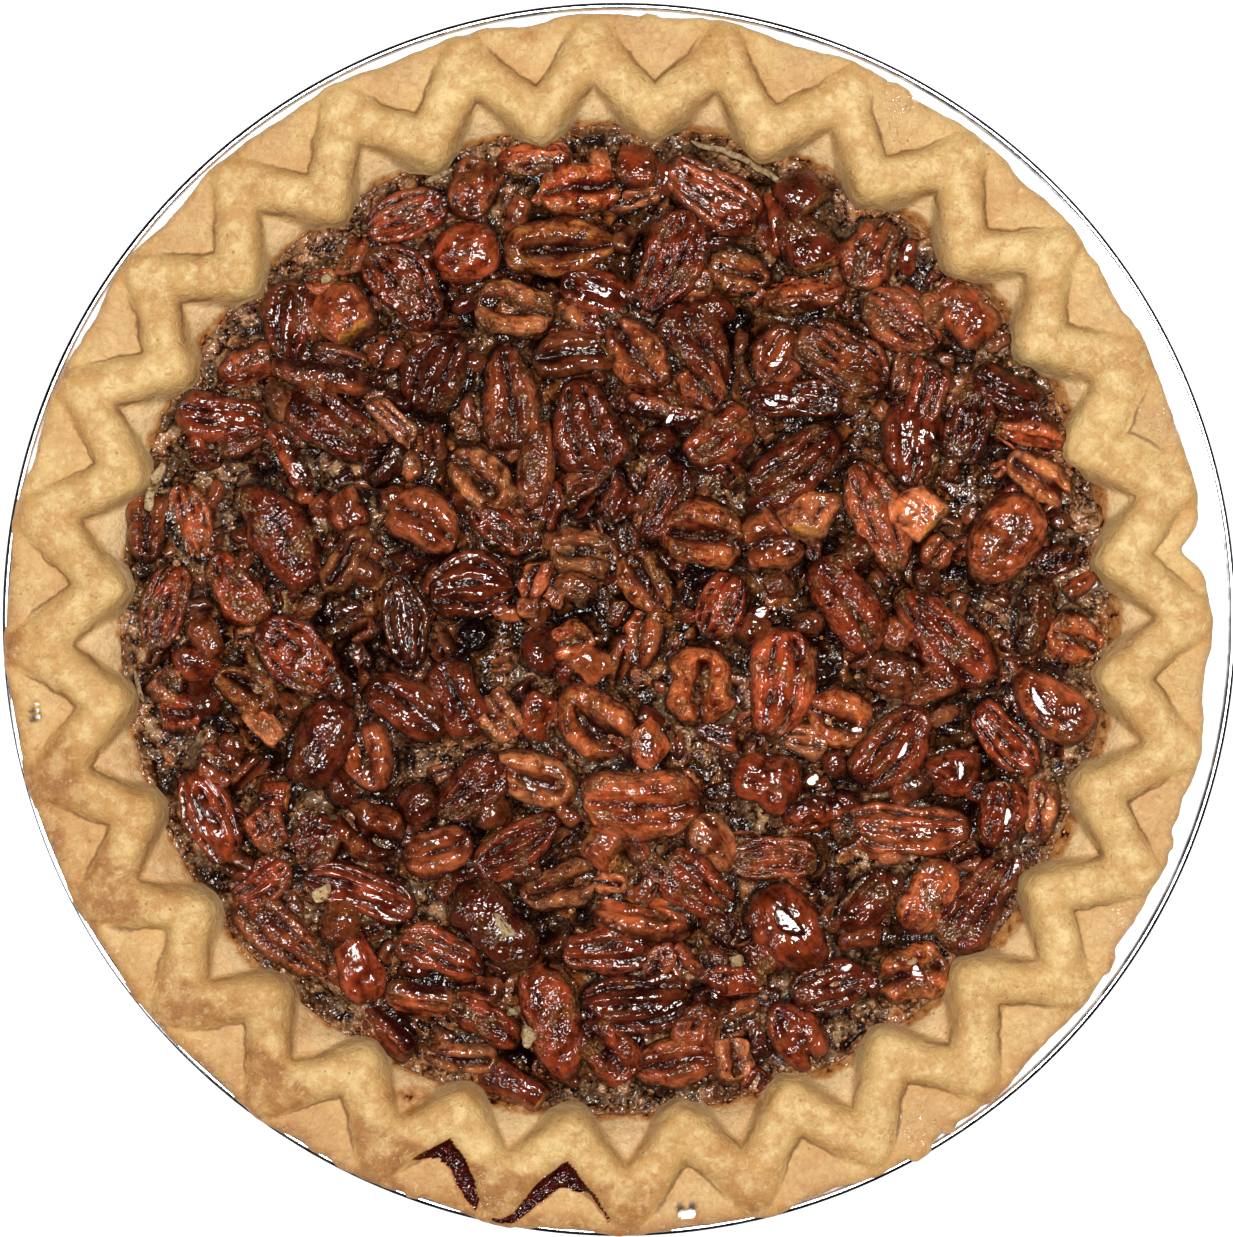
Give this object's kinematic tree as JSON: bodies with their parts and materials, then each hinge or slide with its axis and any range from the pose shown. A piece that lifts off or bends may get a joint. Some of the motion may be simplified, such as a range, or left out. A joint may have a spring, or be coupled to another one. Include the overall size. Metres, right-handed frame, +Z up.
{
  "type": "pecan pie",
  "caption": "Whole round pecan pie in its foil pan: a crust with a hand-crimped zigzag rim holds a dark caramel filling covered with glazed pecan halves.",
  "frame": {"origin": "middle of the underside of the pan's base", "axes": "+Z up, out of the filling; +X to the right and +Y away in the view from above"},
  "size_m": [0.2449, 0.245, 0.0342],
  "materials": {
    "foil": "thin bright foil",
    "dough": "baked pastry, pale gold, matt",
    "caramel": "set caramel filling, dark, glossy",
    "pecan_red": "glazed red-brown nut",
    "pecan_orange": "glazed orange-brown nut",
    "pecan_tan": "glazed pale nut",
    "pecan_brown": "glazed brown nut",
    "pecan_dark": "glazed dark nut"
  },
  "bodies": {
    "root": {"pie_pan": "foil", "crust": "dough", "filling": "caramel", "pecan_back_01": "pecan_red", "pecan_back_02": "pecan_red", "pecan_back_03": "pecan_dark", "pecan_back_04": "pecan_dark", "pecan_back_05": "pecan_dark", "pecan_smooth_06": "pecan_red", "pecan_face_07": "pecan_red", "pecan_back_08": "pecan_orange", "pecan_face_09": "pecan_brown", "pecan_back_10": "pecan_red", "pecan_face_11": "pecan_tan", "pecan_back_12": "pecan_orange", "pecan_face_13": "pecan_orange", "pecan_back_14": "pecan_dark", "pecan_back_15": "pecan_red", "pecan_back_16": "pecan_orange", "pecan_smooth_17": "pecan_orange", "pecan_back_18": "pecan_brown", "pecan_back_19": "pecan_red", "pecan_smooth_20": "pecan_dark", "pecan_back_21": "pecan_red", "pecan_back_22": "pecan_brown", "pecan_back_23": "pecan_orange", "pecan_back_24": "pecan_red", "pecan_smooth_25": "pecan_dark", "pecan_back_26": "pecan_red", "pecan_face_27": "pecan_orange", "pecan_face_28": "pecan_orange", "pecan_back_29": "pecan_red", "pecan_smooth_30": "pecan_red", "pecan_face_31": "pecan_orange", "pecan_back_32": "pecan_orange", "pecan_back_33": "pecan_dark", "pecan_back_34": "pecan_orange", "pecan_smooth_35": "pecan_orange", "pecan_back_36": "pecan_red", "pecan_back_37": "pecan_red", "pecan_smooth_38": "pecan_orange", "pecan_back_39": "pecan_red", "pecan_back_40": "pecan_red", "pecan_back_41": "pecan_red", "pecan_back_42": "pecan_red", "pecan_back_43": "pecan_brown", "pecan_back_44": "pecan_red", "pecan_back_45": "pecan_red", "pecan_face_46": "pecan_tan", "pecan_smooth_47": "pecan_dark", "pecan_back_48": "pecan_red", "pecan_back_49": "pecan_orange", "pecan_smooth_50": "pecan_red", "pecan_smooth_51": "pecan_red", "pecan_back_52": "pecan_dark", "pecan_back_53": "pecan_orange", "pecan_back_54": "pecan_orange", "pecan_back_55": "pecan_dark", "pecan_face_56": "pecan_orange"}
  },
  "joints": []
}
